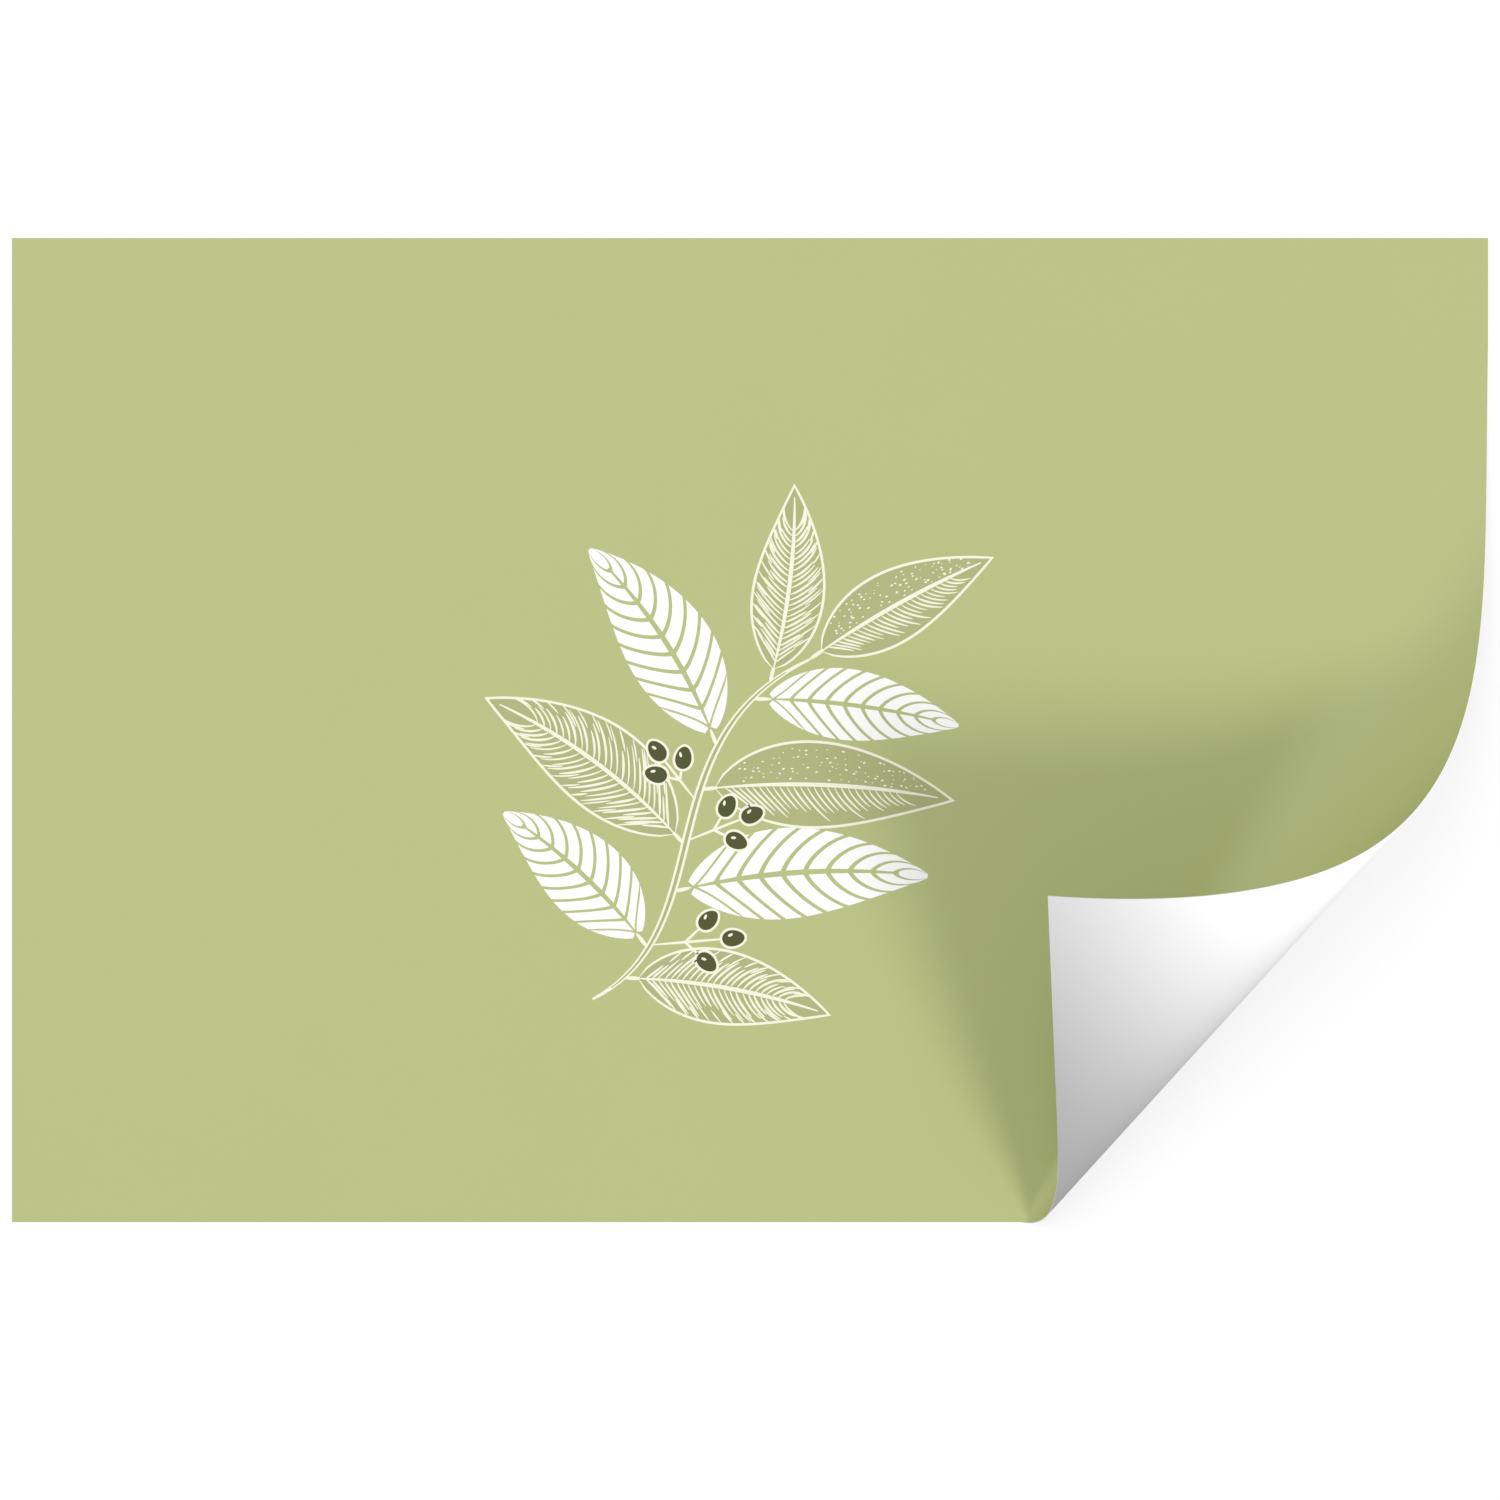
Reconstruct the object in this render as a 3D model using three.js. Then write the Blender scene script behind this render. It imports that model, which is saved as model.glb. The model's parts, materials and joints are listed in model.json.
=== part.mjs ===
// Wall sticker: one rectangular self-adhesive sheet, 600 mm wide and 400 mm high,
// lying on its back with the printed face up. Its lower right corner has curled
// up and over, so that the white back shows.
//
// Frame: +X to the right of the picture, +Y to its top, +Z out of the printed face.
// The origin is the middle of the sheet on the surface that it lies on.

import * as THREE from "three";

// Sheet, in millimetres
const SHEET_WIDTH = 600;
const SHEET_HEIGHT = 400;

// Layers from the back to the printed face
const LINER_THICKNESS = 0.15;
const ADHESIVE_THICKNESS = 0.03;
const FILM_THICKNESS = 0.1;
const LAYER_GAP = 0.002; // clearance between the faces of two layers

// Curled corner: straight bend lines fan out from the bottom edge to the right edge
const CURL_START_X = 109.6; // first bend line on the bottom edge
const CURL_START_Y = 158.5; // first bend line on the right edge
const CORNER = new THREE.Vector3(293.9, -220.3, 0); // the loose corner on the unrolled sheet
const CURL_TURN = THREE.MathUtils.degToRad(167.4); // turn from the flat sheet to the corner
const BEND_LINES = 48; // all turn by the same angle
const FLAT_STRIP = 2; // width, on the bottom edge, of the flat strip before the first line
const CORNER_STRIP = 0.002; // the last strip ends this share of its length from the corner
// How far the bend lines' ends lie from those of the first line, as the control values
// of a smooth curve from the first line to the last.
const ALONG_BOTTOM = [0, 2, 4.1, 6.1, 8.4, 60.8, 88];
const ALONG_RIGHT = [0, 116.6, 120, 206.5, 250, 254.3, 378.2];

// Value at share u of a smooth curve with these control values: the values between
// neighbours are taken until only one is left.
function smoothValue(values, u) {
  let row = values;
  while (row.length > 1) row = row.slice(1).map((value, i) => row[i] + (value - row[i]) * u);
  return row[0];
}

// Bend line at share u on the unrolled sheet, from the bottom edge to the right edge.
function bendLine(u) {
  const firstLow = new THREE.Vector3(CURL_START_X, -SHEET_HEIGHT / 2, 0);
  const firstHigh = new THREE.Vector3(SHEET_WIDTH / 2, CURL_START_Y, 0);
  const alongBottom = smoothValue(ALONG_BOTTOM, u) / firstLow.distanceTo(CORNER);
  const alongRight = smoothValue(ALONG_RIGHT, u) / firstHigh.distanceTo(CORNER);
  return {
    low: firstLow.lerp(CORNER, alongBottom),
    high: firstHigh.lerp(CORNER, alongRight),
  };
}

// Turn about a bend line that lifts everything beyond it off the sheet's plane.
function liftAbout(line, angle) {
  const axis = line.high.clone().sub(line.low).normalize();
  const back = new THREE.Matrix4().makeTranslation(-line.low.x, -line.low.y, -line.low.z);
  const turn = new THREE.Matrix4().makeRotationAxis(axis, -angle);
  const out = new THREE.Matrix4().makeTranslation(line.low.x, line.low.y, line.low.z);
  return out.multiply(turn).multiply(back);
}

// Straight lines across the sheet in space. Each has its ends on the back face and
// the thickness direction there, which is mitred between the strips on both sides.
function sheetLines() {
  const up = new THREE.Vector3(0, 0, 1);
  const x = SHEET_WIDTH / 2;
  const y = SHEET_HEIGHT / 2;
  const lines = [
    { low: new THREE.Vector3(-x, -y, 0), high: new THREE.Vector3(-x, y, 0), out: up },
    {
      low: new THREE.Vector3(CURL_START_X - FLAT_STRIP, -y, 0),
      high: new THREE.Vector3(x, y, 0),
      out: up,
    },
  ];
  const pose = new THREE.Matrix4();
  let before = up;
  for (let i = 0; i <= BEND_LINES; i++) {
    const line = bendLine(i / BEND_LINES);
    const low = line.low.clone().applyMatrix4(pose);
    const high = line.high.clone().applyMatrix4(pose);
    const atEnd = i === 0 || i === BEND_LINES ? 0.5 : 1;
    pose.multiply(liftAbout(line, (atEnd * CURL_TURN) / BEND_LINES));
    const after = up.clone().transformDirection(pose);
    const out = before.clone().add(after).divideScalar(1 + before.dot(after));
    lines.push({ low, high, out });
    before = after;
  }
  // The corner itself, where the last strip ends, as a line too short to see.
  const last = bendLine(1);
  const nearLow = CORNER.clone().lerp(last.low, CORNER_STRIP).applyMatrix4(pose);
  const nearHigh = CORNER.clone().lerp(last.high, CORNER_STRIP).applyMatrix4(pose);
  lines.push({ low: nearLow, high: nearHigh, out: before });
  return lines;
}

// One layer of the sheet: a box with a strip between each two lines, whose corners
// are then moved onto the lines, at the layer's own height in the thickness.
function layer(name, lines, height, thickness, material) {
  const strips = lines.length - 1;
  const geometry = new THREE.BoxGeometry(strips, 1, 1, strips, 1, 1);
  const corners = geometry.getAttribute("position");
  for (let i = 0; i < corners.count; i++) {
    const line = lines[Math.round(corners.getX(i) + strips / 2)];
    const end = corners.getY(i) > 0 ? line.high : line.low;
    const depth = height + (corners.getZ(i) > 0 ? thickness : 0);
    const point = end.clone().addScaledVector(line.out, depth);
    corners.setXYZ(i, point.x, point.y, point.z);
  }
  geometry.computeVertexNormals();
  const mesh = new THREE.Mesh(geometry, new THREE.MeshStandardMaterial(material));
  mesh.name = name;
  return mesh;
}

const LINES = sheetLines();
const sticker = new THREE.Group();

// White silicone-coated backing paper
sticker.add(
  layer("release_liner", LINES, 0, LINER_THICKNESS, {
    color: 0xfafaf8,
    roughness: 0.6,
    metalness: 0,
  }),
);

// Clear pressure-sensitive adhesive between the liner and the film
const ADHESIVE_HEIGHT = LINER_THICKNESS + LAYER_GAP;
sticker.add(
  layer("adhesive_layer", LINES, ADHESIVE_HEIGHT, ADHESIVE_THICKNESS, {
    color: 0xf1efe4,
    roughness: 0.3,
    metalness: 0,
  }),
);

// Sage green vinyl film, with its printed face on top
const FILM_HEIGHT = ADHESIVE_HEIGHT + ADHESIVE_THICKNESS + LAYER_GAP;
sticker.add(
  layer("printed_film", LINES, FILM_HEIGHT, FILM_THICKNESS, {
    color: 0xbdc58a,
    roughness: 0.45,
    metalness: 0,
  }),
);

export default sticker;
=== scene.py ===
import json
import math
import random

import bmesh
import bpy
from mathutils import Matrix, Vector

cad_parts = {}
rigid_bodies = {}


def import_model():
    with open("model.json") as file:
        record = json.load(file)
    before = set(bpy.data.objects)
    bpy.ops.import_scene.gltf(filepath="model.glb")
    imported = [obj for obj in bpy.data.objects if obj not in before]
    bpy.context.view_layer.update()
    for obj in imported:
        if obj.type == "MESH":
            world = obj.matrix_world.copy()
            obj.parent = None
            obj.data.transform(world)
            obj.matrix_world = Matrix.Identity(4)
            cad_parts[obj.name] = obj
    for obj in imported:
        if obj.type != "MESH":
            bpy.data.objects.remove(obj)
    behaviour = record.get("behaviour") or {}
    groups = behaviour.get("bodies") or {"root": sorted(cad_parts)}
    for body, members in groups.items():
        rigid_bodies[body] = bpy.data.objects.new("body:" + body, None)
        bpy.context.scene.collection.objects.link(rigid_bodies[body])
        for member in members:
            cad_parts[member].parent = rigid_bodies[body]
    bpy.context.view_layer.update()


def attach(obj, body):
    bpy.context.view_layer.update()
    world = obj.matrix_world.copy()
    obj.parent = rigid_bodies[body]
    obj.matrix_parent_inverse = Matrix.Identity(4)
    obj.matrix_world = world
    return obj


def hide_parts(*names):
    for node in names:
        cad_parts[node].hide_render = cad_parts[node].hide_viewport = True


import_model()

# The view: the sheet lies on its back and is seen square on from above its face. The
# picture takes in 610 mm of it and aims 8 mm below its middle.
VIEW_WIDTH = 0.6098
VIEW_DROP = 0.0081
LENS = 100
SENSOR = 36
camera = bpy.data.objects.new("square_on_view", bpy.data.cameras.new("square_on_view"))
camera.data.lens = LENS
camera.data.sensor_width = SENSOR
camera.location = (0, -VIEW_DROP, VIEW_WIDTH * LENS / SENSOR)
bpy.context.scene.collection.objects.link(camera)
bpy.context.scene.camera = camera

# Release liner: smooth white silicone-coated paper under the whole sheet. Like the
# layers on it, it is one flat slab with the lower right corner bent up and over about
# straight lines that fan out from the bottom edge to the right edge.
SHEET_WIDTH = 0.6
SHEET_HEIGHT = 0.4
LINER_THICKNESS = 0.00015
CURL_START = Vector((0.1096, -0.2, 0))  # first bend line on the bottom edge
CURL_TOP = Vector((0.3, 0.1585, 0))  # first bend line on the right edge
CORNER = Vector((0.2939, -0.2203, 0))  # the loose corner on the unrolled sheet
CURL_TURN = math.radians(167.4)  # turn from the flat sheet to the corner
BEND_LINES = 160  # all turn by the same angle, but the first and the last by half of it
# How far the bend lines' ends lie from those of the first line, as the control values
# of a smooth curve from the first line to the last.
ALONG_BOTTOM = (0, 0.002, 0.0041, 0.0061, 0.0084, 0.0608, 0.088)
ALONG_RIGHT = (0, 0.1166, 0.12, 0.2065, 0.25, 0.2543, 0.3782)
CORNER_REACH = 0.001  # what lies this close to the square corner moves with it
CUT_REACH = 0.0000001  # a cut takes what lies this close to it as on it
LINE_REACH = 0.000002  # a bend takes what lies this close to its line as on it
FACING_UP = 0.5  # the normal of a layer's printed side rises by more than this
SHARP_EDGE = math.radians(40)
LINER_TONES = ((0.82, 0.82, 0.817, 1), (0.8, 0.8, 0.797, 1))


def smooth_value(values, share):
    """Value at a share of a smooth curve with these control values: the values between
    neighbours are taken until only one is left."""
    row = values
    while len(row) > 1:
        row = [a + (b - a) * share for a, b in zip(row, row[1:])]
    return row[0]


def bend_line(share):
    """Ends of a bend line on the unrolled sheet, on the bottom and the right edge."""
    along_bottom = smooth_value(ALONG_BOTTOM, share) / (CORNER - CURL_START).length
    along_right = smooth_value(ALONG_RIGHT, share) / (CORNER - CURL_TOP).length
    return CURL_START.lerp(CORNER, along_bottom), CURL_TOP.lerp(CORNER, along_right)


def cut(bm, faces, place, across):
    """Cuts faces by the plane through a place, square to a direction."""
    around = {part for face in faces for part in face.verts[:] + face.edges[:]}
    geometry = faces + list(around)
    bmesh.ops.bisect_plane(bm, geom=geometry, dist=CUT_REACH, plane_co=place, plane_no=across)


def made_piece(name, bm):
    """A piece with this shape, added to the scene."""
    piece = bpy.data.objects.new(name, bpy.data.meshes.new(name))
    bm.to_mesh(piece.data)
    bm.free()
    bpy.context.scene.collection.objects.link(piece)
    return piece


def bent_slab(name, underside, thickness, bare_slot=0):
    """One layer of the sheet, cut along the bend lines while flat and then bent. Its
    back and its cut edges take the material of the bare slot."""
    bm = bmesh.new()
    bmesh.ops.create_cube(bm, size=1)
    bmesh.ops.scale(bm, vec=(SHEET_WIDTH, SHEET_HEIGHT, thickness), verts=bm.verts)
    bmesh.ops.translate(bm, vec=(0, 0, underside + thickness / 2), verts=bm.verts)
    cut(bm, bm.faces[:], CURL_START, (1, 0, 0))
    cut(bm, bm.faces[:], CURL_TOP, (0, 1, 0))
    square_corner = Vector((SHEET_WIDTH / 2, -SHEET_HEIGHT / 2, 0))
    corner = [v for v in bm.verts if (v.co - square_corner).length < CORNER_REACH]
    bmesh.ops.translate(bm, vec=CORNER - square_corner, verts=corner)

    # Only what lies past the first line is cut by the others and bent, because the last
    # lines, drawn on to the left, run below the far end of the sheet.
    lines = [bend_line(i / BEND_LINES) for i in range(BEND_LINES + 1)]
    sides = [(high - low).cross(Vector((0, 0, 1))).normalized() for low, high in lines]
    cut(bm, bm.faces[:], CURL_START, sides[0])
    for (low, high), side in zip(lines[1:], sides[1:]):
        curl = [f for f in bm.faces if (f.calc_center_median() - CURL_START).dot(sides[0]) > 0]
        cut(bm, curl, low, side)
    for face in bm.faces:
        face.material_index = 0 if face.normal.z > FACING_UP else bare_slot
    loose = [v for v in bm.verts if (v.co - CURL_START).dot(sides[0]) > -LINE_REACH]
    unrolled = [(v, v.co.copy()) for v in loose]
    for i in reversed(range(BEND_LINES + 1)):
        low, high = lines[i]
        past = [(v, (place - low).dot(sides[i])) for v, place in unrolled]
        beyond = [v for v, distance in past if distance > LINE_REACH]
        on_line = [v for v, distance in past if abs(distance) <= LINE_REACH]
        angle = CURL_TURN / BEND_LINES * (0.5 if i in (0, BEND_LINES) else 1)
        along = (high - low).normalized()
        for verts, turn in ((beyond, angle), (on_line, angle / 2)):
            matrix = Matrix.Rotation(-turn, 3, along)
            bmesh.ops.rotate(bm, cent=low, matrix=matrix, verts=verts)

    for face in bm.faces:
        face.smooth = True
    for edge in bm.edges:
        edge.smooth = edge.calc_face_angle(0) < SHARP_EDGE
    return made_piece(name, bm)


class Wire:
    """A node's output that can be used in sums, and that makes further nodes."""

    def __init__(self, tree, socket=None):
        self.tree = tree
        self.socket = socket

    def node(self, kind, settings=None, sockets=None, output=0):
        """A new node with these settings, and values or wires in its sockets."""
        made = self.tree.nodes.new(kind)
        for key, value in (settings or {}).items():
            setattr(made, key, value)
        for key, value in (sockets or {}).items():
            if isinstance(value, Wire):
                self.tree.links.new(value.socket, made.inputs[key])
            else:
                made.inputs[key].default_value = value
        return Wire(self.tree, made.outputs[output])

    def maths(self, operation, first, second):
        """A sum of two numbers or wires."""
        return self.node("ShaderNodeMath", {"operation": operation}, {0: first, 1: second})

    def __add__(self, other):
        return self.maths("ADD", self, other)

    def __radd__(self, other):
        return self.maths("ADD", other, self)

    def __mul__(self, other):
        return self.maths("MULTIPLY", self, other)

    def __rmul__(self, other):
        return self.maths("MULTIPLY", other, self)


def new_material(name, gloss=0.5):
    """An empty material, its shader and a wire that starts its nodes."""
    material = bpy.data.materials.new(name)
    material.use_nodes = True
    shader = material.node_tree.nodes["Principled BSDF"]
    shader.inputs["Specular IOR Level"].default_value = gloss
    return material, shader, Wire(material.node_tree)


def noise(wire, scale, detail, roughness=0.55):
    """Soft random values from 0 to 1 over the piece, scale times a metre."""
    place = wire.node("ShaderNodeTexCoord", output="Object")
    sockets = {"Vector": place, "Scale": scale, "Detail": detail, "Roughness": roughness}
    return wire.node("ShaderNodeTexNoise", None, sockets)


def between(wire, share, tones):
    """A colour between two tones."""
    sockets = {0: share, 6: tones[0], 7: tones[1]}
    return wire.node("ShaderNodeMix", {"data_type": "RGBA"}, sockets, output=2)


def relief(wire, height, strength, depth):
    """A fine relief of the surface, depth in metres."""
    sockets = {"Height": height, "Strength": strength, "Distance": depth}
    return wire.node("ShaderNodeBump", None, sockets)


def feed(wire, shader, **values):
    """Links to the shader's varying sockets, named with _ for a space."""
    for key, value in values.items():
        wire.tree.links.new(value.socket, shader.inputs[key.replace("_", " ")])


liner_paper, shader, wire = new_material("liner_paper", gloss=0.35)
clouding = noise(wire, scale=22, detail=3)
fibres = noise(wire, scale=1600, detail=5)
feed(
    wire,
    shader,
    Base_Color=between(wire, clouding, LINER_TONES),
    Roughness=0.42 + 0.12 * clouding,
    Normal=relief(wire, fibres, strength=0.15, depth=0.00002),
)

liner = bent_slab("liner", 0, LINER_THICKNESS)
liner.data.materials.append(liner_paper)
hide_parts("release_liner")
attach(liner, "root")

# Adhesive: a clear, slightly yellow film of pressure-sensitive glue between the liner
# and the vinyl, coated to every edge, so that only its cut edge shows.
LAYER_GAP = 0.000002
ADHESIVE_THICKNESS = 0.00003
ADHESIVE_BASE = LINER_THICKNESS + LAYER_GAP
GLUE_TONES = ((0.86, 0.84, 0.74, 1), (0.8, 0.78, 0.68, 1))

glue_coat, shader, wire = new_material("glue_coat")
clouding = noise(wire, scale=60, detail=2)
ripples = noise(wire, scale=400, detail=2)
feed(
    wire,
    shader,
    Base_Color=between(wire, clouding, GLUE_TONES),
    Roughness=0.15 + 0.15 * clouding,
    Normal=relief(wire, ripples, strength=0.2, depth=0.00001),
)

glue = bent_slab("glue", ADHESIVE_BASE, ADHESIVE_THICKNESS)
glue.data.materials.append(glue_coat)
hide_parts("adhesive_layer")
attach(glue, "root")

# Film: white matt vinyl, printed sage green all over its face. The knife that cut the
# sheet leaves the vinyl's own white on the edges.
FILM_THICKNESS = 0.0001
FILM_BASE = ADHESIVE_BASE + ADHESIVE_THICKNESS + LAYER_GAP
FACE = FILM_BASE + FILM_THICKNESS
SAGE_TONES = ((0.418, 0.46, 0.198, 1), (0.411, 0.452, 0.194, 1))
VINYL_TONES = ((0.84, 0.84, 0.83, 1), (0.8, 0.8, 0.79, 1))

sage_print, shader, wire = new_material("sage_print", gloss=0.3)
clouding = noise(wire, scale=14, detail=4)
grain = noise(wire, scale=2600, detail=3)
feed(
    wire,
    shader,
    Base_Color=between(wire, clouding, SAGE_TONES),
    Roughness=0.5 + 0.1 * clouding,
    Normal=relief(wire, grain, strength=0.2, depth=0.00001),
)

white_vinyl, shader, wire = new_material("white_vinyl")
clouding = noise(wire, scale=80, detail=2)
feed(
    wire,
    shader,
    Base_Color=between(wire, clouding, VINYL_TONES),
    Roughness=0.4 + 0.15 * clouding,
)

film = bent_slab("film", FILM_BASE, FILM_THICKNESS, bare_slot=1)
film.data.materials.append(sage_print)
film.data.materials.append(white_vinyl)
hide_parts("printed_film")
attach(film, "root")

# Print: a leafy sprig with berries in matt inks, each a thin even coat on the film.
# Where inks lie over each other, the later coat is on top: white and cream first, then
# the mid green of the leaves, the cream lines, and the dark olive berries.
MOTIF_CENTRE = Vector((0.002, -0.0154))
INK_COAT = 0.00002  # thickness of one coat
INK_SINK = 0.000002  # how far a shape's foot is sunk into the film
FIRST, SECOND, THIRD, FOURTH, FIFTH = 1, 2, 3, 4, 5  # coats, from the film up
BRUSH_STEP = 0.06  # each shape of an ink is this share of a coat higher than the last
BRUSH_ROUNDS = 11  # and after this many shapes the steps start again
CLOSEST_POINTS = 0.000002  # a point closer than this to the next one is left out
whites, creams, greens, olives = [], [], [], []  # coat and outline of each ink's shapes
brush = random.Random(7)


def spaced(start, end, steps):
    """Values from a start to an end in even steps, both of them included."""
    return [start + (end - start) * i / steps for i in range(steps + 1)]


STROKE_TIP = 0.04  # share of the swell that is left out at each end, or a tip has no width
STROKE_FULLNESS = 0.6
EGG_SLIMNESS = 0.12  # the far end of an oval is slimmer by about this share


def stroke(points, width):
    """A brush line through points, pointed at both ends."""
    last = len(points) - 1
    left, right = [], []
    for i, point in enumerate(points):
        ahead = points[min(i + 1, last)] - points[max(i - 1, 0)]
        side = Vector((-ahead.y, ahead.x)).normalized()
        swell = math.sin(math.pi * (STROKE_TIP + (1 - 2 * STROKE_TIP) * i / last))
        half = width / 2 * swell**STROKE_FULLNESS
        left.append(point + side * half)
        right.append(point - side * half)
    return right + left[::-1]


def oval(centre, heading, length, width, corners):
    """An egg-shaped spot."""
    outline = []
    for i in range(corners):
        turn = 2 * math.pi * i / corners
        along = math.cos(turn) * length / 2
        across = math.sin(turn) * width / 2 * (1 - EGG_SLIMNESS * math.cos(turn))
        x = along * math.cos(heading) - across * math.sin(heading)
        y = along * math.sin(heading) + across * math.cos(heading)
        outline.append(centre + Vector((x, y)))
    return outline


STEM_WIDTH = 0.0034
STEM_CORE = 0.4  # share of the stem's width that is green
STEM_CORE_START = 2  # steps from each end of the stem
STEM_STEPS = 40
STEM_CURVE = (
    Vector((-0.066, -0.094)),
    Vector((-0.012, -0.066)),
    Vector((-0.046, 0.012)),
    Vector((0.022, 0.044)),
)


def stem_at(share):
    """Point of the stem and its heading, from the foot to the head."""
    onward = [b - a for a, b in zip(STEM_CURVE, STEM_CURVE[1:])]
    ahead = smooth_value(onward, share)
    return smooth_value(STEM_CURVE, share), math.atan2(ahead.y, ahead.x)


LEAF_BELLY = 0.75  # below 1, a leaf is widest below its middle
LEAF_FULLNESS = 0.9
LEAF_POINT = 0.00012  # half the width of a leaf's very tip
EDGE_STEPS = 28
VEIN_SWEEP = 0.17  # share of the midrib that a side vein runs ahead on its way out
VEIN_CURVE = 1.4
VEIN_LIMIT = 0.985  # no side vein comes closer to the tip


class Leaf:
    """A leaf of the sprig. Its midrib is an arc, and it is widest below the middle."""

    def __init__(self, foot, heading, length, width, bend):
        self.foot = foot
        self.heading = heading
        self.length = length
        self.width = width
        self.bend = bend

    def at(self, along, across, rim=0):
        """Point at a share of the midrib, and a share of the half width to its left. The
        half width is measured to within a rim of the edge."""
        turned = self.heading + self.bend * along
        radius = self.length / self.bend
        x = radius * (math.sin(turned) - math.sin(self.heading))
        y = radius * (math.cos(self.heading) - math.cos(turned))
        swell = math.sin(math.pi * along**LEAF_BELLY) ** LEAF_FULLNESS
        reach = across * max(self.width / 2 * swell - rim, LEAF_POINT)
        return self.foot + Vector((x - reach * math.sin(turned), y + reach * math.cos(turned)))

    def outline(self, start, end, rim):
        """The leaf's edge, or a line at a rim's width within it, between two shares of
        the midrib."""
        shares = spaced(start, end, EDGE_STEPS)
        right = [self.at(share, -1, rim) for share in reversed(shares)]
        left = [self.at(share, 1, rim) for share in shares]
        return right + left

    def on_vein(self, start, across, side):
        """Point on the side vein that leaves the midrib at a share of it."""
        return self.at(min(start + VEIN_SWEEP * across**VEIN_CURVE, VEIN_LIMIT), side * across)

    def vein(self, start, side, inner, outer, steps):
        """The side vein that leaves the midrib at a share of it, between two shares of
        its way to the edge."""
        return [self.on_vein(start, across, side) for across in spaced(inner, outer, steps)]


WHITE_PATCHES = 9  # on each side of the midrib, without those at the foot and the tip
PATCHES_START = 0.03
PATCHES_END = 0.85
PATCH_GAP = 0.0105  # half the way between two patches, as a share of the midrib
PATCH_FOOT = 0.012  # share of the midrib where the foot's patches start
# How far out on its way to the edge a patch starts, and where those at the tip end
FOOT_INNER = 0.12
PATCH_INNER = 0.06
TIP_INNER = 0.1
TIP_OUTER = 0.8


def white_leaf(leaf):
    """White patches with narrow gaps between them, where the green film shows as the
    veins of the leaf."""
    starts = spaced(PATCHES_START, PATCHES_END, WHITE_PATCHES)
    foot_end = PATCH_FOOT + VEIN_SWEEP + PATCHES_START - PATCH_GAP
    for side in (1, -1):
        foot_edge = [leaf.at(share, side) for share in spaced(PATCH_FOOT, foot_end, 12)]
        first_vein = leaf.vein(PATCHES_START - PATCH_GAP, side, FOOT_INNER, 1, 10)[:-1]
        whites.append((FIRST, foot_edge + first_vein[::-1]))
        for start, end in zip(starts, starts[1:]):
            lower = leaf.vein(start + PATCH_GAP, side, PATCH_INNER, 1, 10)
            upper = leaf.vein(end - PATCH_GAP, side, PATCH_INNER, 1, 10)
            edge_starts = spaced(start + PATCH_GAP, end - PATCH_GAP, 5)[1:-1]
            edge = [leaf.on_vein(share, 1, side) for share in edge_starts]
            whites.append((FIRST, lower + edge + upper[::-1]))
    tip_start = PATCHES_END + PATCH_GAP
    left, right = [leaf.vein(tip_start, side, TIP_INNER, TIP_OUTER, 8) for side in (1, -1)]
    whites.append((FIRST, left + right[::-1]))


OUTLINE_WIDTH = 0.0011
GREEN_START = 0.008
GREEN_END = 0.978
MIDRIB_END = 0.93
MIDRIB_WIDTH = 0.0017
VEINS_START = 0.04
VEINS_STRETCH = 0.74  # share of the midrib that side veins leave from
VEIN_WIDTHS = (0.0007, 0.0011)
FINE_WIDTHS = (0.0006, 0.0009)
LINED_VEINS = 24
VEIN_JITTER = 0.12  # share of the way to the next vein
# Shares of the way to the edge: where veins start and end, and the lines from the edge
VEIN_INNER = 0.04
VEIN_OUTER = (0.55, 0.9)
EDGE_LINE_OUTER = 0.93
EDGE_LINE_LENGTH = (0.25, 0.5)
DOTTED_VEINS = 26
DOTTED_VEIN_INNER = 0.05
DOTTED_VEIN_OUTER = (0.55, 0.88)
DOT_ROWS = 20
DOTS_IN_ROW = 6
DOTS_START = 0.1
DOTS_STRETCH = 0.78
DOTS_BREADTH = 0.74
DOT_PLACE = (0.1, 0.9)  # within its own cell of the rows
DOTS_MISSING = 0.25
DOT_SIZES = (0.0006, 0.0014)
DOT_SLIMNESS = 0.55
DOT_TURN = 0.5


def green_leaf(leaf):
    """Mid green within a cream edge, with a cream midrib."""
    creams.append((FIRST, leaf.outline(0, 1, 0)))
    greens.append((SECOND, leaf.outline(GREEN_START, GREEN_END, OUTLINE_WIDTH)))
    midrib = [leaf.at(share, 0) for share in spaced(0, MIDRIB_END, 24)]
    creams.append((THIRD, stroke(midrib, MIDRIB_WIDTH)))


def lined_leaf(leaf):
    """A green leaf with side veins, and fine lines from the edge between them."""
    green_leaf(leaf)
    for side in (1, -1):
        for k in range(LINED_VEINS):
            place = k + brush.uniform(-VEIN_JITTER, VEIN_JITTER)
            start = VEINS_START + VEINS_STRETCH * place / LINED_VEINS
            vein = leaf.vein(start, side, VEIN_INNER, brush.uniform(*VEIN_OUTER), 9)
            creams.append((THIRD, stroke(vein, brush.uniform(*VEIN_WIDTHS))))
            if k % 2:
                continue
            halfway = start + VEINS_STRETCH / LINED_VEINS / 2
            inner = EDGE_LINE_OUTER - brush.uniform(*EDGE_LINE_LENGTH)
            line = leaf.vein(halfway, side, EDGE_LINE_OUTER, inner, 7)
            creams.append((THIRD, stroke(line, brush.uniform(*FINE_WIDTHS))))


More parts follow.
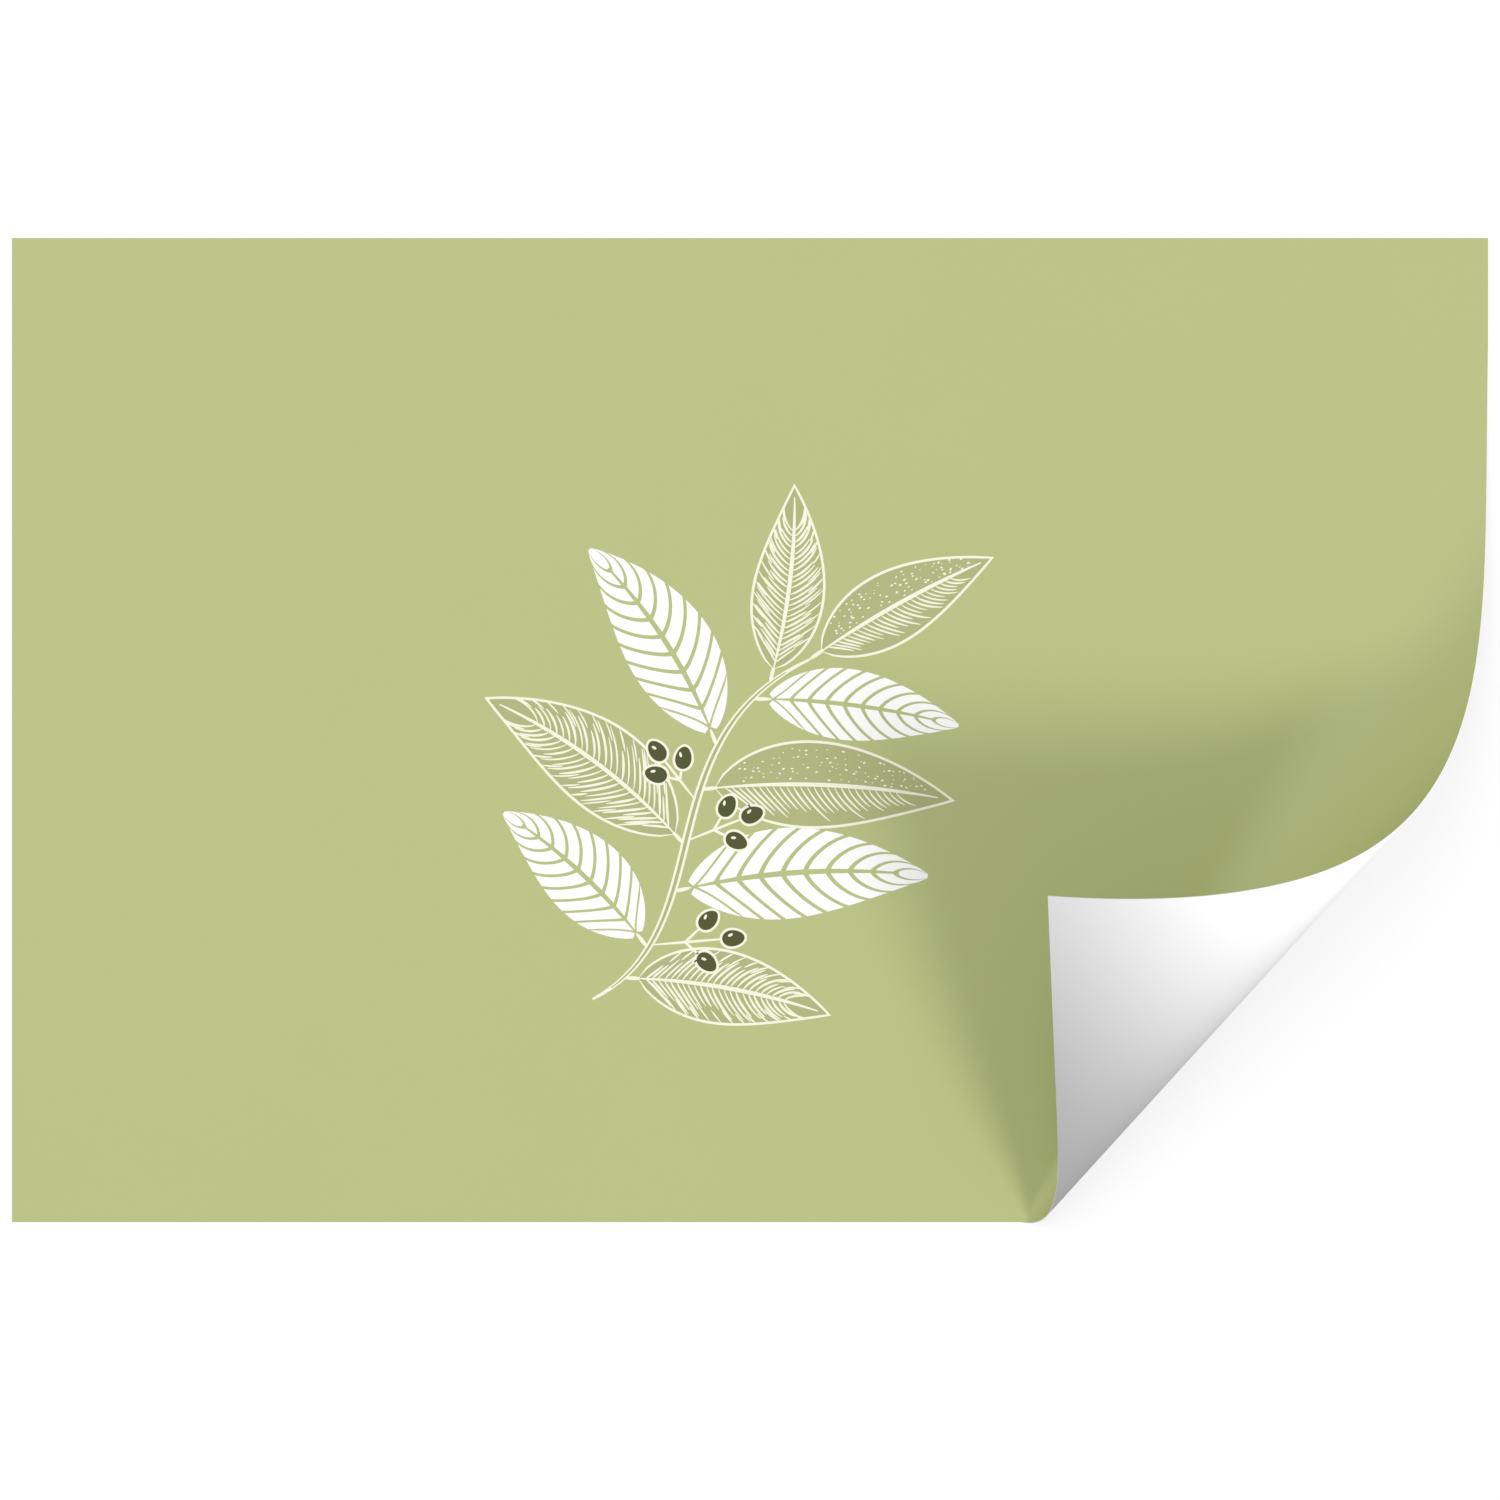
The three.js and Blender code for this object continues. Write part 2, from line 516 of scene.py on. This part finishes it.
def dotted_leaf(leaf):
    """A green leaf with side veins on its right half and dots on its left."""
    green_leaf(leaf)
    for k in range(DOTTED_VEINS):
        start = VEINS_START + VEINS_STRETCH * k / DOTTED_VEINS
        outer = brush.uniform(*DOTTED_VEIN_OUTER)
        vein = leaf.vein(start, -1, DOTTED_VEIN_INNER, outer, 9)
        creams.append((THIRD, stroke(vein, brush.uniform(*FINE_WIDTHS))))
    for row in range(DOT_ROWS):
        for k in range(DOTS_IN_ROW):
            along = DOTS_START + DOTS_STRETCH * (row + brush.uniform(*DOT_PLACE)) / DOT_ROWS
            across = DOTS_START + DOTS_BREADTH * (k + brush.uniform(*DOT_PLACE)) / DOTS_IN_ROW
            if brush.random() < DOTS_MISSING:
                continue
            turned = leaf.heading + leaf.bend * along + brush.uniform(-DOT_TURN, DOT_TURN)
            size = brush.uniform(*DOT_SIZES)
            dot = oval(leaf.at(along, across), turned, size, size * DOT_SLIMNESS, 7)
            creams.append((THIRD, dot))


STALK_LEAN = 0.95
STALK_WIDTH = 0.0011
FORK_PLACE = 0.42  # share of the stalk's length at which its twigs part
TWIG_STEP = 0.2  # each twig lies this share of a coat above the last
# Where each twig begins on the stalk, and its berry's place ahead and aside, in lengths
# of the stalk.
TWIGS = ((0, 1.0, 0.0), (0.7, 0.72, 0.24), (0.8, 0.66, -0.26))
BERRY_RIM = (0.0112, 0.0086)
BERRY_SKIN = (0.0092, 0.0066)
GLINT_PLACE = Vector((-0.0012, 0.0013))
GLINT_LEAN = 0.4
GLINT_SIZE = (0.0022, 0.0011)


def berry_stalk(share, side, length):
    """A thin stalk from the stem that carries three dark berries with cream rims."""
    foot, heading = stem_at(share)
    turned = heading + side * STALK_LEAN
    reach = Vector((math.cos(turned), math.sin(turned))) * length
    across = Vector((-reach.y, reach.x))
    fork = foot + reach * FORK_PLACE
    for k, (begins, ahead, aside) in enumerate(TWIGS):
        centre = foot + reach * ahead + across * aside
        lower = [foot.lerp(fork, part) for part in spaced(begins, 1, 5)[:-1]]
        upper = [fork.lerp(centre, part) for part in spaced(0, 1, 6)]
        creams.append((SECOND + TWIG_STEP * k, stroke(lower + upper, STALK_WIDTH)))
        aim = math.atan2(centre.y - fork.y, centre.x - fork.x)
        creams.append((THIRD, oval(centre, aim, *BERRY_RIM, 28)))
        olives.append((FOURTH, oval(centre, aim, *BERRY_SKIN, 28)))
        creams.append((FIFTH, oval(centre + GLINT_PLACE, aim + GLINT_LEAN, *GLINT_SIZE, 12)))


LEAF_STALK = 0.006
STALK_OVERLAP = 1.3  # a leaf's stalk is drawn this much longer, onto the leaf
LEAF_STALK_WIDTH = 0.0016
# Leaves from the foot of the stem to its head: how each is drawn, its share of the stem,
# its turn from the stem, its length and width, and the bend of its midrib.
LEAVES = (
    (lined_leaf, 0.09, -0.78, 0.080, 0.031, -0.30),
    (white_leaf, 0.19, 1.22, 0.076, 0.033, 0.35),
    (white_leaf, 0.35, -1.05, 0.100, 0.037, -0.35),
    (lined_leaf, 0.47, 0.98, 0.096, 0.036, 0.42),
    (dotted_leaf, 0.61, -1.16, 0.098, 0.036, -0.30),
    (white_leaf, 0.72, 0.84, 0.092, 0.036, 0.45),
    (white_leaf, 0.86, -0.80, 0.080, 0.029, -0.25),
    (lined_leaf, 0.91, 0.66, 0.076, 0.030, 0.28),
    (dotted_leaf, 1.00, 0.16, 0.080, 0.030, -0.20),
)
# Berry stalks: share of the stem, side of it and length
BERRY_STALKS = ((0.20, -1, 0.034), (0.58, 1, 0.026), (0.48, -1, 0.029))
for drawn, share, aside, length, width, bend in LEAVES:
    foot, heading = stem_at(share)
    heading += aside
    stalk = Vector((math.cos(heading), math.sin(heading))) * LEAF_STALK
    stalk_points = [foot + stalk * part for part in spaced(0, STALK_OVERLAP, 5)]
    creams.append((SECOND, stroke(stalk_points, LEAF_STALK_WIDTH)))
    drawn(Leaf(foot + stalk, heading, length, width, bend))
stem = [stem_at(share)[0] for share in spaced(0, 1, STEM_STEPS)]
creams.append((THIRD, stroke(stem, STEM_WIDTH)))
greens.append((FOURTH, stroke(stem[STEM_CORE_START:-STEM_CORE_START], STEM_WIDTH * STEM_CORE)))
for share, side, length in BERRY_STALKS:
    berry_stalk(share, side, length)

WHITE_TONES = ((0.88, 0.88, 0.875, 1), (0.87, 0.87, 0.865, 1))
CREAM_TONES = ((0.81, 0.8, 0.65, 1), (0.8, 0.79, 0.64, 1))
LEAF_TONES = ((0.376, 0.4, 0.182, 1), (0.368, 0.392, 0.177, 1))
BERRY_TONES = ((0.065, 0.075, 0.018, 1), (0.058, 0.068, 0.016, 1))


def printed(name, shapes, tones, lift=0):
    """Every shape of one ink, each an even coat with square edges."""
    ink, shader, wire = new_material(name + "_ink", gloss=0.3)
    clouding = noise(wire, scale=30, detail=3)
    grain = noise(wire, scale=2600, detail=3)
    feed(
        wire,
        shader,
        Base_Color=between(wire, clouding, tones),
        Roughness=0.5 + 0.1 * clouding,
        Normal=relief(wire, grain, strength=0.2, depth=0.00001),
    )
    bm = bmesh.new()
    for count, (coat, outline) in enumerate(shapes):
        height = INK_COAT * (coat + lift + BRUSH_STEP * (count % BRUSH_ROUNDS))
        corners = []
        for point, following in zip(outline, outline[1:] + outline[:1]):
            if (point - following).length > CLOSEST_POINTS:
                x, y = MOTIF_CENTRE + point
                corners.append(bm.verts.new((x, y, FACE - INK_SINK)))
        grown = bmesh.ops.extrude_face_region(bm, geom=[bm.faces.new(corners)])
        tops = [v for v in grown["geom"] if isinstance(v, bmesh.types.BMVert)]
        bmesh.ops.translate(bm, vec=(0, 0, INK_SINK + height), verts=tops)
    bmesh.ops.recalc_face_normals(bm, faces=bm.faces)
    piece = made_piece(name, bm)
    piece.data.materials.append(ink)
    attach(piece, "root")


# White lies half a brush step above cream, so that their tops are never level.
printed("white_print", whites, WHITE_TONES, lift=BRUSH_STEP / 2)
printed("cream_print", creams, CREAM_TONES)
printed("green_print", greens, LEAF_TONES)
printed("olive_print", olives, BERRY_TONES)

# Floor: a plain white light table that the sheet lies on. It glows a little from below,
# so that shadows on it are faint.
TABLE_SIZE = 20
TABLE_DROP = 0.0001  # clearance under the sheet
TABLE_TONES = ((0.32, 0.32, 0.32, 1), (0.3, 0.3, 0.3, 1))
TABLE_GLOW = 0.675

table_white, shader, wire = new_material("table_white", gloss=0.1)
clouding = noise(wire, scale=3, detail=2)
feed(
    wire,
    shader,
    Base_Color=between(wire, clouding, TABLE_TONES),
    Roughness=0.7 + 0.1 * clouding,
)
shader.inputs["Emission Color"].default_value = (1, 1, 1, 1)
shader.inputs["Emission Strength"].default_value = TABLE_GLOW
bm = bmesh.new()
bmesh.ops.create_grid(bm, x_segments=1, y_segments=1, size=TABLE_SIZE / 2)
bmesh.ops.translate(bm, vec=(0, 0, -TABLE_DROP), verts=bm.verts)
table = made_piece("table_top", bm)
table.data.materials.append(table_white)

# Light: a pale room, a soft lamp at the lower right of the picture, and a broad fill
# from high at its upper left. The white back has a spot of its own, from the right,
# in place of those two and the table's glow.
ROOM_LIGHT = 0.5
LAMP_FROM = Vector((0.72, -0.63, 1))
LAMP_POWER = 1.33
LAMP_SPREAD = math.radians(20)
FILL_FROM = Vector((-0.5, 0.48, 1))
FILL_POWER = 1.46
FILL_SPREAD = math.radians(50)
SPOT_AIM = Vector((0.223, 0.13, 0.05))
SPOT_FROM = Vector((0.52, -0.48, 0.71))
SPOT_DISTANCE = 0.9
SPOT_REACH = 0.355  # radius that it lights around its aim
SPOT_POWER = 34.5
SPOT_SIZE = 0.05

room = bpy.data.worlds.new("pale_room")
room.use_nodes = True
background = room.node_tree.nodes["Background"]
background.inputs["Color"].default_value = (1, 1, 1, 1)
background.inputs["Strength"].default_value = ROOM_LIGHT
bpy.context.scene.world = room
bpy.context.scene.view_settings.view_transform = "Standard"

white_back = bpy.data.collections.new("white_back")
white_back.objects.link(liner)
all_else = bpy.data.collections.new("all_else")
for piece in bpy.context.scene.objects:
    if piece.type == "MESH" and piece != liner:
        all_else.objects.link(piece)
table.light_linking.receiver_collection = all_else


def lamp(name, kind, power, towards, lit):
    """A lamp that shines from a direction on one set of pieces."""
    made = bpy.data.objects.new(name, bpy.data.lights.new(name, kind))
    made.data.energy = power
    made.rotation_mode = "QUATERNION"
    made.rotation_quaternion = towards.to_track_quat("Z", "Y")
    made.light_linking.receiver_collection = lit
    bpy.context.scene.collection.objects.link(made)
    return made


lamp("soft_lamp", "SUN", LAMP_POWER, LAMP_FROM, all_else).data.angle = LAMP_SPREAD
lamp("broad_fill", "SUN", FILL_POWER, FILL_FROM, all_else).data.angle = FILL_SPREAD
spot = lamp("curl_spot", "SPOT", SPOT_POWER, SPOT_FROM, white_back)
spot.location = SPOT_AIM + SPOT_DISTANCE * SPOT_FROM
spot.data.spot_size = 2 * math.atan(SPOT_REACH / SPOT_DISTANCE)
spot.data.spot_blend = 1
spot.data.shadow_soft_size = SPOT_SIZE
